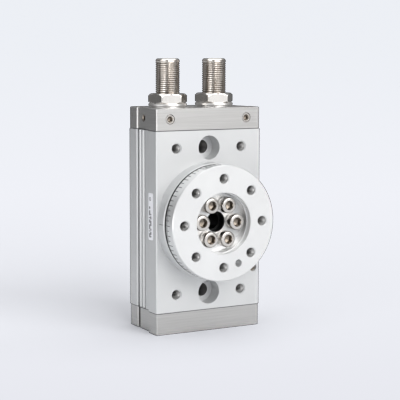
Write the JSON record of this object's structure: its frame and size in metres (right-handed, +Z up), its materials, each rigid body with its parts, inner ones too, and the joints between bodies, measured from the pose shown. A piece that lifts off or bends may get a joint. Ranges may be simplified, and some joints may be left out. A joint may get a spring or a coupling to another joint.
{
  "type": "rotary pneumatic actuator",
  "caption": "Air-driven rotary table: piston racks in an upright aluminium body turn a round, hollow table on its front, with shock absorbers on top.",
  "frame": {"origin": "centre of the table's front face, on the table's axis, at the mouth of the centring bore", "axes": "-Y along the table's axis, out of the table's face; +X to the right as the table is seen from the front; +Z up, along the cylinders towards the shock absorbers"},
  "size_m": [0.0621, 0.0505, 0.1423],
  "materials": {
    "anodised_body": "fine matt silver anodising",
    "anodised_cap": "matt silver anodising, a little darker and warmer than the body",
    "machined_table": "fine turned and anodised",
    "steel_screw": "zinc-plated steel",
    "hardened_steel": "ground hardened steel",
    "nickel_steel": "nickel-plated steel",
    "zinc_nut": "bright nickel-plated steel",
    "seal_rubber": "black nitrile rubber",
    "wear_plastic": "natural acetal",
    "cage_plastic": "brown glass-filled nylon",
    "magnet_black": "plastic-bonded magnet",
    "label_white": "white printed film"
  },
  "bodies": {
    "housing": {"body": "anodised_body", "top_cap": "anodised_cap", "bottom_cap": "anodised_cap", "top_cap_o_rings": "seal_rubber", "bottom_cap_o_rings": "seal_rubber", "top_cap_screws": "steel_screw", "bottom_cap_screws": "steel_screw", "cap_front_plugs": "steel_screw", "cap_side_plugs": "steel_screw", "port_plug": "steel_screw", "side_label": "label_white", "front_bearing_outer_ring": "hardened_steel", "rear_bearing_outer_ring": "hardened_steel", "bearing_retainer": "hardened_steel", "retainer_screws": "steel_screw", "rear_retaining_ring": "hardened_steel", "left_shock_absorber": "nickel_steel", "right_shock_absorber": "nickel_steel", "left_absorber_spring": "hardened_steel", "right_absorber_spring": "hardened_steel", "left_lock_nut": "zinc_nut", "right_lock_nut": "zinc_nut", "left_seal_washer": "nickel_steel", "right_seal_washer": "nickel_steel"},
    "table": {"turntable": "machined_table", "table_screws": "steel_screw", "table_dowel_pin": "hardened_steel", "pinion_shaft": "hardened_steel", "front_bearing_inner_ring": "hardened_steel", "rear_bearing_inner_ring": "hardened_steel"},
    "front_ball_set": {"front_bearing_balls": "hardened_steel", "front_bearing_cage": "cage_plastic"},
    "rear_ball_set": {"rear_bearing_balls": "hardened_steel", "rear_bearing_cage": "cage_plastic"},
    "left_piston": {"left_piston_rack": "hardened_steel", "left_piston_seals": "seal_rubber", "left_wear_rings": "wear_plastic", "left_piston_magnet": "magnet_black"},
    "left_plunger": {"left_absorber_plunger": "hardened_steel"},
    "right_piston": {"right_piston_rack": "hardened_steel", "right_piston_seals": "seal_rubber", "right_wear_rings": "wear_plastic", "right_piston_magnet": "magnet_black"},
    "right_plunger": {"right_absorber_plunger": "hardened_steel"}
  },
  "joints": [
    {"name": "table_turn", "type": "hinge", "parent": "housing", "child": "table", "pos_m": [0, 0, 0], "axis": [0, -1, 0], "range_deg": [-95, 95]},
    {"name": "left_rack_slide", "type": "slide", "parent": "housing", "child": "left_piston", "axis": [0, 0, 1], "range_m": [-0.0125, 0.0125]},
    {"name": "right_rack_slide", "type": "slide", "parent": "housing", "child": "right_piston", "axis": [0, 0, 1], "range_m": [-0.0125, 0.0125]},
    {"name": "front_balls_roll", "type": "hinge", "parent": "housing", "child": "front_ball_set", "pos_m": [0, 0.015, 0], "axis": [0, -1, 0], "range_deg": [-43, 43]},
    {"name": "rear_balls_roll", "type": "hinge", "parent": "housing", "child": "rear_ball_set", "pos_m": [0, 0.047, 0], "axis": [0, -1, 0], "range_deg": [-43, 43]},
    {"name": "left_plunger_slide", "type": "slide", "parent": "housing", "child": "left_plunger", "axis": [0, 0, 1], "range_m": [0, 0.006], "stiffness_N_per_m": 400, "springref_m": -0.004, "deforming": ["left_absorber_spring"]},
    {"name": "right_plunger_slide", "type": "slide", "parent": "housing", "child": "right_plunger", "axis": [0, 0, 1], "range_m": [0, 0.006], "stiffness_N_per_m": 400, "springref_m": -0.004, "deforming": ["right_absorber_spring"]}
  ],
  "couplings": [
    {"joint": "left_rack_slide", "follows": "table_turn", "m_per_rad": -0.0075},
    {"joint": "right_rack_slide", "follows": "table_turn", "m_per_rad": 0.0075},
    {"joint": "front_balls_roll", "follows": "table_turn", "ratio": 0.45139},
    {"joint": "rear_balls_roll", "follows": "table_turn", "ratio": 0.44444}
  ]
}
